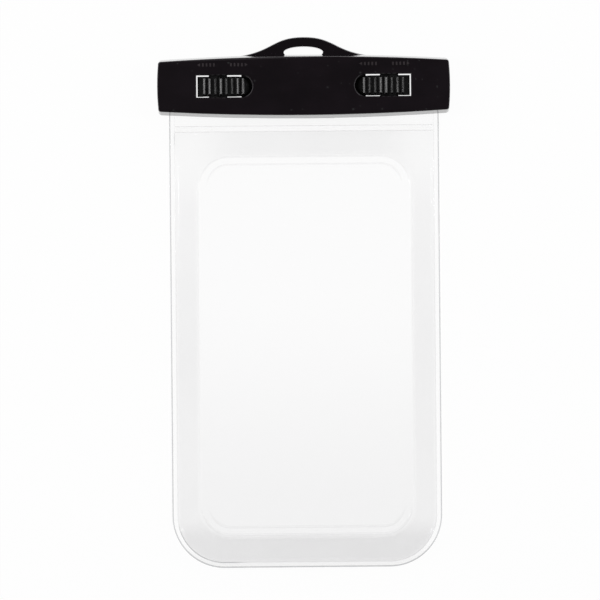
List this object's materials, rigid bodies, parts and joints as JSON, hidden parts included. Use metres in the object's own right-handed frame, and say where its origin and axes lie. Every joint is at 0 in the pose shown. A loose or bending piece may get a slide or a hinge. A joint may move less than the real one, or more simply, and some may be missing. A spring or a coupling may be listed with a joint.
{
  "type": "waterproof phone pouch",
  "caption": "Clear welded film pouch with a black two-part clip, sliding latches and a carrying loop, empty and lying on its back.",
  "frame": {"origin": "centre of the clip's back face, which is one of the two faces the pouch lies on", "axes": "+Z out of the front face, +Y from the bag towards the carrying loop, +X to the right seen from the front"},
  "size_m": [0.115, 0.2081, 0.0122],
  "materials": {
    "clip_black": "satin black moulded plastic with polished edges",
    "plate_black": "plain black moulded plastic",
    "latch_black": "satin black moulded plastic, ribbed",
    "seal_rubber": "soft matt rubber",
    "clear_film": "clear glossy film",
    "clear_strip": "clear glossy strip"
  },
  "bodies": {
    "back": {"back_cover": "clip_black", "seal_gasket": "seal_rubber", "back_film": "clear_film", "front_film": "clear_film", "zip_rib_strip": "clear_strip", "zip_groove_strip": "clear_strip"},
    "front": {"front_cover": "clip_black", "front_inner_plate": "plate_black"},
    "left_slider": {"left_latch": "latch_black"},
    "right_slider": {"right_latch": "latch_black"}
  },
  "joints": [
    {"name": "front_cover_hinge", "type": "hinge", "parent": "back", "child": "front", "pos_m": [0, -0.0125, 0.0054], "axis": [1, 0, 0], "range_deg": [0, 60]},
    {"name": "left_latch_slide", "type": "slide", "parent": "front", "child": "left_slider", "axis": [1, 0, 0], "range_m": [0, 0.0016]},
    {"name": "right_latch_slide", "type": "slide", "parent": "front", "child": "right_slider", "axis": [-1, 0, 0], "range_m": [0, 0.0016]}
  ]
}
